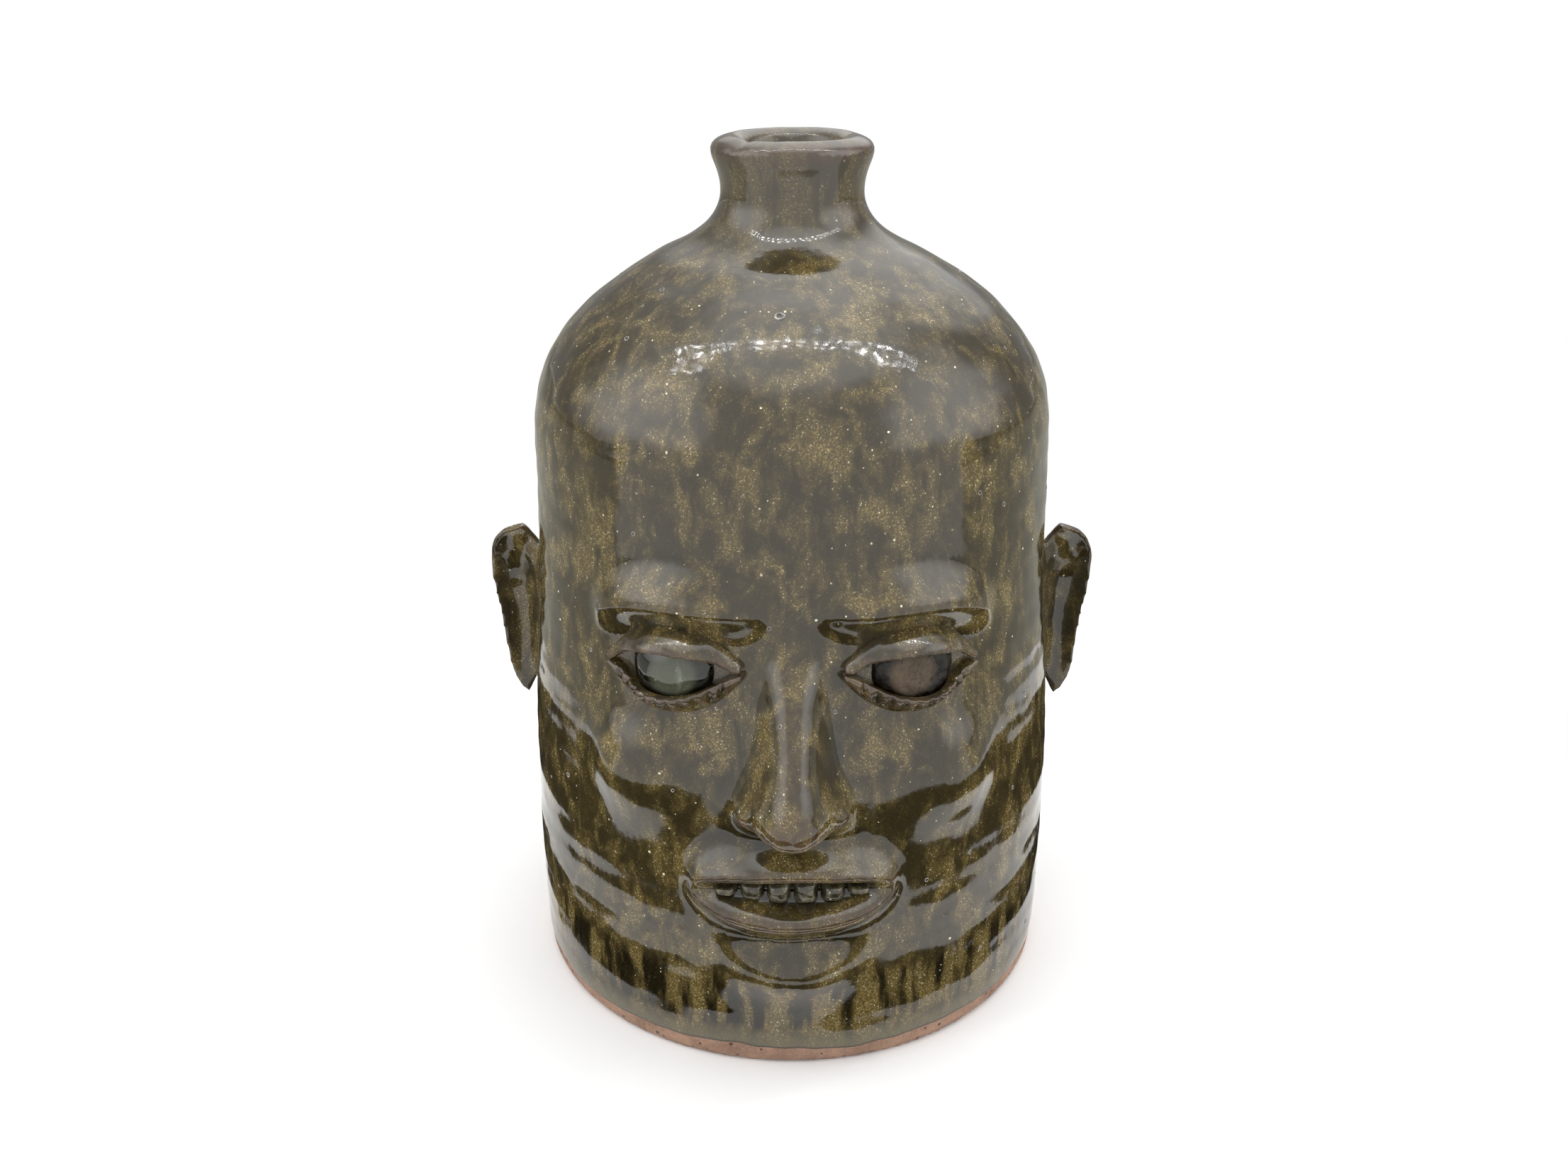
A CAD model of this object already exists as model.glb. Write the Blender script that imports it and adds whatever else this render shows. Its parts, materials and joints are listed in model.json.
import bmesh
import bpy
import json
import math
import numpy as np
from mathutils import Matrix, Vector, noise
from mathutils.kdtree import KDTree

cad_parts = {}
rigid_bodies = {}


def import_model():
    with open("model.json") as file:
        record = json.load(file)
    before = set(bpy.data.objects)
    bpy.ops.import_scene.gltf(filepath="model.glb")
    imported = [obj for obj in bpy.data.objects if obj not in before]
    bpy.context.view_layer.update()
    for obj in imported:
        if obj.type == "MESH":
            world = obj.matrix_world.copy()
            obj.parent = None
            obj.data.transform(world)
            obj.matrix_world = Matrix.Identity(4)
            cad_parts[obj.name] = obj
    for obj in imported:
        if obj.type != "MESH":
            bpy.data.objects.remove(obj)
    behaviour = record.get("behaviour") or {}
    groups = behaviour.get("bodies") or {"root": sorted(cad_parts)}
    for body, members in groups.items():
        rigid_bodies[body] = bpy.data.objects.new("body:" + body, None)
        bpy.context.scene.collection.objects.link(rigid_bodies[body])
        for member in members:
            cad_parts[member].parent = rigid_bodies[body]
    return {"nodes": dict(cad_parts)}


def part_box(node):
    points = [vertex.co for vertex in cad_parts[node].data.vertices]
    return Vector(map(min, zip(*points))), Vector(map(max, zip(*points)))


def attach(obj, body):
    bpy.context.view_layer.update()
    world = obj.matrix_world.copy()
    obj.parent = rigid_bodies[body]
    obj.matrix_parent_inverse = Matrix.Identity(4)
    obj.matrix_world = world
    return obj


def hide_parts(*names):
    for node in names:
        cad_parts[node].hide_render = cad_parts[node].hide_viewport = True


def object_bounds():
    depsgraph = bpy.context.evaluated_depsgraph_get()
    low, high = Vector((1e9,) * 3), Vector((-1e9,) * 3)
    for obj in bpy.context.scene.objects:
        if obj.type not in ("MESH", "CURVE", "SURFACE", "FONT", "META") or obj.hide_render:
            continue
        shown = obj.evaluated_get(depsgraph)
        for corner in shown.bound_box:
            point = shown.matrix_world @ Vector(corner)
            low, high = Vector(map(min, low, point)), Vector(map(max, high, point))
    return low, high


for leftover in list(bpy.data.objects):
    bpy.data.objects.remove(leftover)
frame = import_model()
nodes = frame["nodes"]
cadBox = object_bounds()
mm = 0.001
print("frame loaded:", len(nodes), "nodes")

# the camera stands where the photograph was taken from: a little above the jug, looking down
camera = {"place": (-0.0022, -0.4077, 0.2830), "pitch": 22.9, "lens": 34.44, "sensor": 36.0, "clipStart": 0.01}
camData = bpy.data.cameras.new("camera")
camData.sensor_width = camera["sensor"]
camData.lens = camera["lens"]
camData.clip_start = camera["clipStart"]
camObj = bpy.data.objects.new("camera", camData)
bpy.context.scene.collection.objects.link(camObj)
camObj.location = camera["place"]
camObj.rotation_euler = (math.radians(90 - camera["pitch"]), 0, 0)
bpy.context.scene.camera = camObj
bpy.context.scene.view_settings.view_transform = "Standard"


# meshes as arrays
def readAll(items, what, width=1, kind=np.float64):
    out = np.empty(len(items) * width, dtype=kind)
    items.foreach_get(what, out)
    return out.reshape(-1, width) if width > 1 else out


def vertsOf(mesh):
    return readAll(mesh.vertices, "co", 3)


def setVerts(mesh, co):
    mesh.vertices.foreach_set("co", np.ascontiguousarray(co, dtype=np.float32).ravel())
    mesh.update()


def trisOf(mesh):
    mesh.calc_loop_triangles()
    return readAll(mesh.loop_triangles, "vertices", 3, np.int32)


def edgesOf(mesh):
    return readAll(mesh.edges, "vertices", 2, np.int64)


def merged(node, gap=0.01 * mm):
    # a CAD node's mesh is loose triangles, so equal corners are joined first
    co = vertsOf(nodes[node].data)
    tris = trisOf(nodes[node].data)
    keys = np.round(co / gap).astype(np.int64)
    _, first, back = np.unique(keys, axis=0, return_index=True, return_inverse=True)
    back = back.reshape(-1)
    tris = back[tris]
    tris = tris[(tris[:, 0] != tris[:, 1]) & (tris[:, 1] != tris[:, 2]) & (tris[:, 0] != tris[:, 2])]
    return co[first], tris


def makeMesh(name, co, faces):
    mesh = bpy.data.meshes.new(name)
    mesh.from_pydata([tuple(p) for p in co], [], [tuple(int(i) for i in f) for f in faces])
    mesh.validate()
    mesh.update()
    return mesh


def makeObject(name, mesh):
    obj = bpy.data.objects.new(name, mesh)
    bpy.context.scene.collection.objects.link(obj)
    return obj


def plainMesh(obj):
    # the mesh that the object's modifier gives
    return bpy.data.meshes.new_from_object(obj.evaluated_get(bpy.context.evaluated_depsgraph_get()))


def voxelRemesh(obj, size):
    mod = obj.modifiers.new("remesh", "REMESH")
    mod.mode, mod.voxel_size, mod.adaptivity = "VOXEL", size, 0.0
    old, mesh = obj.data, plainMesh(obj)
    obj.modifiers.clear()
    obj.data = mesh
    bpy.data.meshes.remove(old)


def joined(parts):
    # pairs of points and triangles as one pair
    starts = np.cumsum([0] + [len(co) for co, _ in parts])
    return np.vstack([co for co, _ in parts]), np.vstack([tris + start for (_, tris), start in zip(parts, starts)])


def reach(co):
    # distance from the jug's axis
    return np.hypot(co[:, 0], co[:, 1])


# the thrown wall's own line, read off its node
def wallLines():
    # outside and inside of the wall as lists of (radius, height), upwards
    co, tris = merged("jug_body")
    a, b, c = co[tris[:, 0]], co[tris[:, 1]], co[tris[:, 2]]
    cross = np.cross(b - a, c - a)
    normal = np.zeros_like(co)
    for k in range(3):
        np.add.at(normal, tris[:, k], cross)
    radius = reach(co)
    outward = (normal[:, :2] * co[:, :2]).sum(1)
    sides = {True: {}, False: {}}
    for r, z, way in zip(radius, co[:, 2], outward):
        if r > 1 * mm:
            sides[bool(way > 0)].setdefault(round(float(z) / mm, 1), []).append(float(r))
    return [[(float(np.mean(v)), z * mm) for z, v in sorted(sides[side].items())] for side in (True, False)]


def throughPoints(points, step):
    # a smooth line through the points, in steps of about one length
    p = np.array(points, dtype=float)
    q = np.vstack([2 * p[0] - p[1], p, 2 * p[-1] - p[-2]])
    out = []
    for k in range(1, len(q) - 2):
        steps = max(1, int(math.ceil(np.linalg.norm(q[k + 1] - q[k]) / step)))
        for t in np.arange(steps) / steps:
            out.append(0.5 * (2 * q[k] + (q[k + 1] - q[k - 1]) * t
                              + (2 * q[k - 1] - 5 * q[k] + 4 * q[k + 1] - q[k + 2]) * t ** 2
                              + (3 * q[k] - q[k - 1] - 3 * q[k + 1] + q[k + 2]) * t ** 3))
    out.append(q[-2])
    return np.array(out)


outerLine, innerLine = wallLines()
outerSmooth = throughPoints(outerLine, 1.5 * mm)
throat = min(r for r, z in innerLine)
throatLow = min(z for r, z in innerLine if r < throat + 0.05 * mm)
jugTop = max(z for r, z in outerLine)
print("wall line:", len(outerLine), "levels outside,", len(innerLine), "inside, throat", round(throat / mm, 2))


def wallAt(z):
    return np.interp(z, outerSmooth[:, 1], outerSmooth[:, 0])


def overWall(co):
    # how far a point stands out from the wall
    return reach(co) - wallAt(co[:, 2])


# Geometry Nodes: a wall turned on the wheel from a line, with the rings that the fingers leave
def addNode(tree, kind, **settings):
    node = tree.nodes.new(kind)
    for key, value in settings.items():
        setattr(node, key, value)
    return node


def feed(tree, node, **values):
    # each value goes to the input of that name, or n and its number; _ stands for a space in the name
    for key, value in values.items():
        socket = node.inputs[int(key[1:]) if key[0] == "n" and key[1:].isdigit() else key.replace("_", " ")]
        if isinstance(value, bpy.types.NodeSocket):
            tree.links.new(value, socket)
        else:
            socket.default_value = value
    return node


def mathNode(tree, how, a, b=None):
    node = feed(tree, addNode(tree, "ShaderNodeMath", operation=how), n0=a)
    if b is not None:
        feed(tree, node, n1=b)
    return node.outputs[0]


def times(tree, a, b):
    return mathNode(tree, "MULTIPLY", a, b)


def plus(tree, a, b):
    return mathNode(tree, "ADD", a, b)


def minus(tree, a, b):
    return mathNode(tree, "SUBTRACT", a, b)


def axes(tree, vector):
    return feed(tree, addNode(tree, "ShaderNodeSeparateXYZ"), n0=vector).outputs


def newTree(name, sizes):
    # sizes: name -> (socket kind, default)
    tree = bpy.data.node_groups.new(name, "GeometryNodeTree")
    for way in ("INPUT", "OUTPUT"):
        tree.interface.new_socket("Geometry", in_out=way, socket_type="NodeSocketGeometry")
    for label, (kind, value) in sizes.items():
        tree.interface.new_socket(label, in_out="INPUT", socket_type="NodeSocket" + kind).default_value = value
    tree.interface.new_socket("Material", in_out="INPUT", socket_type="NodeSocketMaterial")
    return tree, tree.nodes.new("NodeGroupInput").outputs, tree.nodes.new("NodeGroupOutput")


def endTree(tree, given, end, made):
    # every tree ends in real geometry with its material on
    real = feed(tree, addNode(tree, "GeometryNodeRealizeInstances"), n0=made)
    paint = feed(tree, addNode(tree, "GeometryNodeSetMaterial"), Geometry=real.outputs[0], Material=given["Material"])
    feed(tree, end, n0=paint.outputs[0])
    return tree


def runTree(tree, mesh, name, values):
    # runs the tree on a mesh and returns the plain mesh that comes out
    obj = makeObject(name, mesh)
    mod = obj.modifiers.new("nodes", "NODES")
    mod.node_group = tree
    for item in tree.interface.items_tree:
        if item.in_out == "INPUT" and item.name in values:
            mod[item.identifier] = values[item.name]
    out = plainMesh(obj)
    bpy.data.objects.remove(obj)
    return out


def turnedWallTree():
    tree, given, end = newTree("turnedWall", {"Spokes": ("Int", 200), "Steps": ("Int", 260),
                                              "Ring Depth": ("Float", 0.0), "Ring Pitch": ("Float", 0.007)})
    line = feed(tree, addNode(tree, "GeometryNodeMeshToCurve"), n0=given["Geometry"])
    grid = feed(tree, addNode(tree, "GeometryNodeMeshGrid"), Vertices_X=given["Spokes"], Vertices_Y=given["Steps"])
    uv = axes(tree, grid.outputs["UV Map"])
    sample = feed(tree, addNode(tree, "GeometryNodeSampleCurve", mode="FACTOR", use_all_curves=True),
                  Curves=line.outputs[0], Factor=uv["Y"])
    point = axes(tree, sample.outputs["Position"])
    wave = mathNode(tree, "SINE", mathNode(tree, "DIVIDE", times(tree, point["Z"], 2 * math.pi), given["Ring Pitch"]))
    radius = plus(tree, point["X"], times(tree, wave, given["Ring Depth"]))
    radius = times(tree, radius, mathNode(tree, "GREATER_THAN", point["X"], 1e-5))  # the axis stays the axis
    angle = times(tree, uv["X"], 2 * math.pi)
    place = feed(tree, addNode(tree, "ShaderNodeCombineXYZ"), X=times(tree, radius, mathNode(tree, "COSINE", angle)),
                 Y=times(tree, radius, mathNode(tree, "SINE", angle)), Z=point["Z"])
    put = feed(tree, addNode(tree, "GeometryNodeSetPosition"), Geometry=grid.outputs["Mesh"], Position=place.outputs[0])
    merge = feed(tree, addNode(tree, "GeometryNodeMergeByDistance"), Geometry=put.outputs[0], Distance=0.02 * mm)
    return endTree(tree, given, end, merge.outputs[0])


def lineMesh(name, points):
    mesh = bpy.data.meshes.new(name)
    mesh.from_pydata([(float(r), 0.0, float(z)) for r, z in points], [(k, k + 1) for k in range(len(points) - 1)], [])
    return mesh


# the glazed skin: wall and pressed-on pieces run together
skin = {
    "voxel": 1.29 * mm, "spokes": 241, "steps": 420, "ringDepth": 0.05 * mm, "ringPitch": 7.5 * mm, "wellDepth": 6 * mm,
    "thinEdge": 0.45 * mm, "sink": 1.3 * mm, "press": 0.66 * mm, "pressFrom": 0.85 * mm, "pressTo": 6 * mm,
    "pressFade": 1.2 * mm, "flow": (30, 0.85, 0.10),
    "seamHeight": 0.45 * mm, "seamReach": 6 * mm, "seamBelowTop": 5 * mm, "seamDepth": 0.7 * mm,
    "softPieces": ["cheek_left", "cheek_right", "chin"], "softRounds": 90,
    "thinPieces": ["rear_handle"], "thinRounds": 20,
    "wornPieces": {"brow_left": (60, 0.6), "brow_right": (60, 0.6),
                   "upper_lip": (26, 0.45), "lower_lip": (20, 0.4), "nose": (10, 0.35)},
    "turnedBand": (7 * mm, 203 * mm), "turnedGap": (0.5 * mm, 1.1 * mm), "turnedFade": (6 * mm, 10 * mm),
    "fineRounds": 8, "finePool": (0.03 * mm, 0.22 * mm), "fineEdge": (0.09 * mm, 0.32 * mm),
    "broadRounds": 70, "broadPool": (0.5 * mm, 2.2 * mm),
}
# the hand of the potter and the thickness of the glaze, as depths and lengths of waves
hand = {
    "wave": (0.32 * mm, 17 * mm), "dent": (0.10 * mm, 6.5 * mm), "earTool": (0.3 * mm, 5.5 * mm),
    "footFlat": 5 * mm, "bareHeight": 5.4 * mm, "bareWander": (1.0 * mm, 0.7 * mm), "glazeStep": 0.3 * mm,
    "rimWander": 0.5 * mm, "nickAngle": 226, "nickWidth": 2.0 * mm, "nickDepth": 0.6 * mm,
    "strapGroove": 0.5 * mm, "strapGroovePitch": 8.5 * mm, "standsOn": 0.45 * mm,
}
padNames = ["brow_left", "brow_right", "nose", "cheek_left", "cheek_right", "upper_lip", "lower_lip", "chin",
            "rear_handle"]
wheel = turnedWallTree()


def smoothStep(low, high, x):
    t = np.clip((x - low) / (high - low), 0, 1)
    return t * t * (3 - 2 * t)


def sunk(name, edge=skin["press"]):
    # a piece's back goes into the wall and its thin edge down to it, so that the two run together
    co, tris = merged(name)
    r, h = reach(co), overWall(co)
    down = edge * np.exp(-np.maximum(h - skin["pressFrom"], 0) / skin["pressFade"])
    down = np.where(h < skin["thinEdge"], skin["sink"], np.where(h > skin["pressTo"], 0, down))
    co[:, :2] *= ((r - down) / r)[:, None]
    return co, tris


def triNormals(co, tris):
    a, b, c = co[tris[:, 0]], co[tris[:, 1]], co[tris[:, 2]]
    cross = np.cross(b - a, c - a)
    normal = np.empty_like(co)
    for k in range(3):
        normal[:, k] = sum(np.bincount(tris[:, m], cross[:, k], len(co)) for m in range(3))
    return normal / np.maximum(np.linalg.norm(normal, axis=1), 1e-20)[:, None]


def neighbourMean(values, edges):
    flat = values.reshape(len(values), -1)
    degree = np.maximum(np.bincount(edges.ravel(), minlength=len(flat)), 1).astype(float)
    out = np.empty_like(flat)
    for c in range(flat.shape[1]):
        out[:, c] = (np.bincount(edges[:, 0], flat[edges[:, 1], c], len(flat))
                     + np.bincount(edges[:, 1], flat[edges[:, 0], c], len(flat))) / degree
    return out.reshape(values.shape)


def spread(values, edges, rounds):
    # averages a value over each point's neighbours, again and again
    values = values.astype(float)
    for _ in range(rounds):
        values = 0.5 * values + 0.5 * neighbourMean(values, edges)
    return values


def flowed(co, tris, edges, rounds, valley, ridge):
    # like glaze and thumbed clay: hollows fill fast, ridges wear slowly
    for _ in range(rounds):
        move = neighbourMean(co, edges) - co
        out = (move * triNormals(co, tris)).sum(1)
        weight = np.where(out > 0, valley, ridge) * 0.6
        co = co + move * weight[:, None]
    return co


def evened(co, edges, rounds, share):
    # takes the steps out of a thin edge without wearing it down
    for _ in range(rounds):
        for weight in (0.55, -0.57):
            co = co + (neighbourMean(co, edges) - co) * (share * weight)[:, None]
    return co


def rippled(points, size, shift=0.0):
    # smooth noise of about one wave to each size, from -1 to 1
    away = Vector((shift, -shift, 2 * shift))
    return np.array([noise.noise(Vector(p) / size + away) for p in points])


def roundAxis(co):
    # the angle of each point round the jug, and its place on a ring of radius 1
    angle = np.arctan2(co[:, 1], co[:, 0])
    return angle, np.stack([np.cos(angle), np.sin(angle), 0 * angle], axis=1)


def bareLine(co):
    # height of the lower edge of the glaze round the foot
    ring = roundAxis(co)[1]
    slow, quick = hand["bareWander"]
    return hand["bareHeight"] + slow * rippled(ring, 0.42) + quick * rippled(ring, 0.085, 3.0)


def handled(co, normals, tooled=None, strap=None):
    # waves and dents over the whole surface, as far as the flat foot
    wave, waveLong = hand["wave"]
    dent, dentLong = hand["dent"]
    push = wave * rippled(co, waveLong) + dent * rippled(co, dentLong, 7.0)
    if tooled is not None:
        tool, toolLong = hand["earTool"]
        near = tooled > 0.02
        push[near] += tooled[near] * tool * rippled(co[near], toolLong, 11.0)
    if strap is not None:
        near = strap > 0.02
        groove = np.cos(2 * math.pi * co[near, 0] / hand["strapGroovePitch"])
        outer = smoothStep(0.1, 0.6, normals[near, 2] + normals[near, 1])
        push[near] -= strap[near] * hand["strapGroove"] * 0.5 * (1 + groove) * outer
    push = push * smoothStep(0.4 * mm, hand["footFlat"], co[:, 2])
    return co + normals * push[:, None]


def inBox(co):
    return np.clip(co, np.array(cadBox[0]), np.array(cadBox[1]))


def buildSkin():
    well = throatLow - skin["wellDepth"]
    line = [(0, 0)] + [tuple(p) for p in outerSmooth]
    line += [(r, z) for r, z in innerLine[::-1] if z >= throatLow - 1e-6 and z < jugTop]
    line += [(throat, well), (0, well)]
    wall = runTree(wheel, lineMesh("wallLine", line), "turnedWall", {
        "Spokes": skin["spokes"], "Steps": skin["steps"], "Ring Depth": skin["ringDepth"],
        "Ring Pitch": skin["ringPitch"]})
    obj = makeObject("skin", makeMesh("skin", *joined([(vertsOf(wall), trisOf(wall))] + [sunk(n) for n in padNames])))
    voxelRemesh(obj, skin["voxel"])
    return obj


def labelSkin(co, edges):
    # 0 is the thrown wall, k + 1 the piece padNames[k]
    points = [(Vector(p), k) for k, name in enumerate(padNames) for p in merged(name)[0]]
    tree = KDTree(len(points))
    for p, k in points:
        tree.insert(p, k)
    tree.balance()
    label = np.zeros(len(co), dtype=int)
    for k in np.nonzero((overWall(co) > skin["seamHeight"]) & (co[:, 2] < jugTop - skin["seamBelowTop"]))[0]:
        _, which, far = tree.find(Vector(co[k]))
        if far < skin["seamReach"]:
            label[k] = which + 1
    shares = np.zeros((len(co), len(padNames) + 1))
    shares[np.arange(len(co)), label] = 1
    label = spread(shares, edges, 4).argmax(1)
    return keepLargest(label, edges)


def keepLargest(label, edges):
    # every piece keeps its largest patch, and what is left goes to the piece around it
    parent = list(range(len(label)))

    def root(k):
        while parent[k] != k:
            parent[k] = parent[parent[k]]
            k = parent[k]
        return k

    same = edges[label[edges[:, 0]] == label[edges[:, 1]]]
    for a, b in same.tolist():
        ra, rb = root(a), root(b)
        if ra != rb:
            parent[ra] = rb
    roots = np.array([root(k) for k in range(len(label))])
    sizes = np.bincount(roots, minlength=len(label))
    best = {}
    for k in np.unique(roots):
        name = label[k]
        if name not in best or sizes[k] > sizes[best[name]]:
            best[name] = k
    stray = np.array([best[label[k]] != roots[k] for k in range(len(label))])
    for _ in range(200):
        border = edges[stray[edges[:, 0]] != stray[edges[:, 1]]]
        if not len(border):
            break
        inner = np.where(stray[border[:, 0]], border[:, 0], border[:, 1])
        outer = np.where(stray[border[:, 0]], border[:, 1], border[:, 0])
        label[inner] = label[outer]
        stray[inner] = False
    return label


def hollowness(co, normals, edges, rounds):
    # how deep a point lies in a hollow, in metres; negative on a ridge
    return ((spread(co, edges, rounds) - co) * normals).sum(1)


def nearPieces(names, rounds):
    # 1 on the named pieces of the skin, fading off over their borders
    return spread(np.isin(label, [padNames.index(n) + 1 for n in names]), edges, rounds)


skinObj = buildSkin()
skinMesh = skinObj.data
co, tris, edges = vertsOf(skinMesh), trisOf(skinMesh), edgesOf(skinMesh)
co = flowed(co, tris, edges, *skin["flow"])
label = labelSkin(co, edges)
soft = smoothStep(0, 0.5, nearPieces(skin["softPieces"], 60))
soft *= 1 - smoothStep(0.02, 0.25, nearPieces([n for n in padNames if n not in skin["softPieces"]], 12))
co = flowed(co, tris, edges, skin["softRounds"], soft, 0.7 * soft)
co = evened(co, edges, skin["thinRounds"], smoothStep(0.05, 0.5, nearPieces(skin["thinPieces"], 4)))
for name, (rounds, ridge) in skin["wornPieces"].items():
    worn = smoothStep(0, 0.5, nearPieces([name], 8))
    co = flowed(co, tris, edges, rounds, 0.8 * worn, ridge * worn)
# away from the pieces the wall goes back onto its turned line, so that no step of the remesh shows
radius = reach(co)
turned = wallAt(co[:, 2]) + skin["ringDepth"] * np.sin(2 * math.pi * co[:, 2] / skin["ringPitch"])
plain = 1 - smoothStep(0.0, 0.04, nearPieces(padNames, 30))
plain *= 1 - smoothStep(*skin["turnedGap"], np.abs(radius - turned))
(low, high), (fadeLow, fadeHigh) = skin["turnedBand"], skin["turnedFade"]
plain *= smoothStep(low, low + fadeLow, co[:, 2]) * (1 - smoothStep(high - fadeHigh, high, co[:, 2]))
co[:, :2] *= (1 + plain * (turned - radius) / np.maximum(radius, 1 * mm))[:, None]
normals = triNormals(co, tris)
fine = hollowness(co, normals, edges, skin["fineRounds"])
broad = hollowness(co, normals, edges, skin["broadRounds"])
co = handled(co, normals, strap=nearPieces(["rear_handle"], 6))
aboveLine = co[:, 2] - bareLine(co)
bare = 1 - smoothStep(-0.5 * mm, 0.5 * mm, aboveLine)
radius = reach(co)
outside = smoothStep(0.5, 0.9, reach(normals)) * (radius > 60 * mm)
co[:, :2] *= (1 - hand["glazeStep"] * bare * outside / np.maximum(radius, 1 * mm))[:, None]
# the rim is a little uneven, with a nick in it
angle, ring = roundAxis(co)
rim = smoothStep(jugTop - 4 * mm, jugTop - 1 * mm, co[:, 2])
co[:, 2] -= rim * hand["rimWander"] * 0.5 * (1 + rippled(ring, 0.8, 5.0))
away = np.abs((angle - math.radians(hand["nickAngle"]) + math.pi) % (2 * math.pi) - math.pi) * radius
co[:, 2] -= rim * hand["nickDepth"] * np.exp(-(away / hand["nickWidth"]) ** 2)
co[:, 2] = np.where(co[:, 2] < hand["standsOn"], 0, co[:, 2])
co = inBox(co)
setVerts(skinMesh, co)
normals = triNormals(co, tris)
masks = {
    "pool": np.clip(0.8 * smoothStep(*skin["finePool"], fine) + smoothStep(*skin["broadPool"], broad), 0, 1),
    "edge": smoothStep(*skin["fineEdge"], -fine),
    "aboveLine": aboveLine,
}
print("skin:", len(co), "points,", len(tris), "triangles")


def setAttribute(mesh, name, values):
    layer = mesh.attributes.new(name, "FLOAT", "POINT")
    layer.data.foreach_set("value", np.ascontiguousarray(values, dtype=np.float32))


def smoothPolygons(mesh):
    mesh.polygons.foreach_set("use_smooth", np.ones(len(mesh.polygons), dtype=bool))


def polygonsOf(mesh):
    if (readAll(mesh.polygons, "loop_total", 1, np.int32) != 4).any():
        raise RuntimeError("the remeshed skin should be all quads")
    return readAll(mesh.loops, "vertex_index", 1, np.int32).reshape(-1, 4)


def cutPiece(name, quads, extra=None):
    # a piece of the skin, closed at its seams; its shading runs on over the seams
    used, back = np.unique(quads, return_inverse=True)
    back = back.reshape(-1, 4)
    mesh = makeMesh(name, co[used], back)
    setAttribute(mesh, "skinPoint", used)
    bm = bmesh.new()
    bm.from_mesh(mesh)
    kind = bm.faces.layers.int.new("faceKind")  # 1 skin, 2 the cavity, 0 what closes a seam
    point = bm.verts.layers.float["skinPoint"]
    for f in bm.faces:
        f[kind] = 1
    if extra is not None:
        extra(bm, kind)
    # the border goes down into the clay first, so that the cap under the piece never shows at a seam
    borders = [e for e in bm.edges if e.is_boundary]
    for part in bmesh.ops.extrude_edge_only(bm, edges=borders)["geom"]:
        if isinstance(part, bmesh.types.BMVert):
            part.co -= Vector(normals[int(round(part[point]))]) * skin["seamDepth"]
        elif isinstance(part, bmesh.types.BMFace):
            part[kind] = 0
    borders = [e for e in bm.edges if e.is_boundary]
    caps = bmesh.ops.holes_fill(bm, edges=borders, sides=0)["faces"]
    for f in bmesh.ops.triangulate(bm, faces=caps)["faces"]:
        f[kind] = 0
    for f in bm.faces:
        f.smooth = f[kind] > 0
    bmesh.ops.recalc_face_normals(bm, faces=bm.faces)
    bm.to_mesh(mesh)
    bm.free()
    point = np.round(readAll(mesh.attributes["skinPoint"].data, "value", 1, np.float32)).astype(int)
    for key, values in masks.items():
        setAttribute(mesh, key, values[point])
    kinds = readAll(mesh.attributes["faceKind"].data, "value", 1, np.int32)
    total = readAll(mesh.polygons, "loop_total", 1, np.int32)
    loopVert = readAll(mesh.loops, "vertex_index", 1, np.int32)
    loopNormals = readAll(mesh.corner_normals, "vector", 3, np.float32)
    fromSkin = np.repeat(kinds == 1, total)
    loopNormals[fromSkin] = normals[point[loopVert[fromSkin]]]
    mesh.attributes.remove(mesh.attributes["faceKind"])
    mesh.attributes.remove(mesh.attributes["skinPoint"])
    mesh.normals_split_custom_set(loopNormals.tolist())
    return makeObject(name, mesh)


# the cavity inside, down from the throat, joined to the skin below the throat
liner = {"cut": 0.6 * mm, "plugWider": 1.5 * mm, "plugDeeper": 3 * mm, "edgeNear": 4 * mm, "overlap": 2 * mm,
         "spokes": 81, "steps": 90, "flatBelow": 0.05 * mm, "flatWithin": 72 * mm}


def addLiner(bm, kind):
    cut = throatLow - liner["cut"]
    wellEnd = throatLow - skin["wellDepth"] - liner["plugDeeper"]

    def across(vert):
        return math.hypot(vert.co.x, vert.co.y)

    def throatEdges():
        return {e for e in bm.edges if e.is_boundary and abs(e.verts[0].co.z - cut) < liner["edgeNear"]
                and across(e.verts[0]) < throat + liner["edgeNear"]}

    plug = [f for f in bm.faces
            if all(wellEnd < v.co.z < cut and across(v) < throat + liner["plugWider"] for v in f.verts)]
    bmesh.ops.delete(bm, geom=plug, context="FACES")
    bmesh.ops.delete(bm, geom=[v for v in bm.verts if not v.link_faces], context="VERTS")
    skinEdges = throatEdges()
    cavity = [(r, z) for r, z in innerLine[::-1] if z < throatLow - liner["overlap"]] + [(0, innerLine[0][1])]
    bm.from_mesh(runTree(wheel, lineMesh("cavityLine", cavity), "cavity",
                         {"Spokes": liner["spokes"], "Steps": liner["steps"]}))
    linerEdges = throatEdges() - skinEdges
    bridge = bmesh.ops.bridge_loops(bm, edges=list(skinEdges | linerEdges))["faces"]
    for f in bm.faces:
        if f[kind] != 1:
            f[kind] = 2
    for f in bridge:
        f[kind] = 2
    # the flat underside needs no small faces
    under = [f for f in bm.faces
             if all(v.co.z < liner["flatBelow"] and across(v) < liner["flatWithin"] for v in f.verts)]
    bmesh.ops.delete(bm, geom=under, context="FACES")
    print("throat: joined", len(skinEdges), "edges of the skin to", len(linerEdges), "of the cavity")


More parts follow.
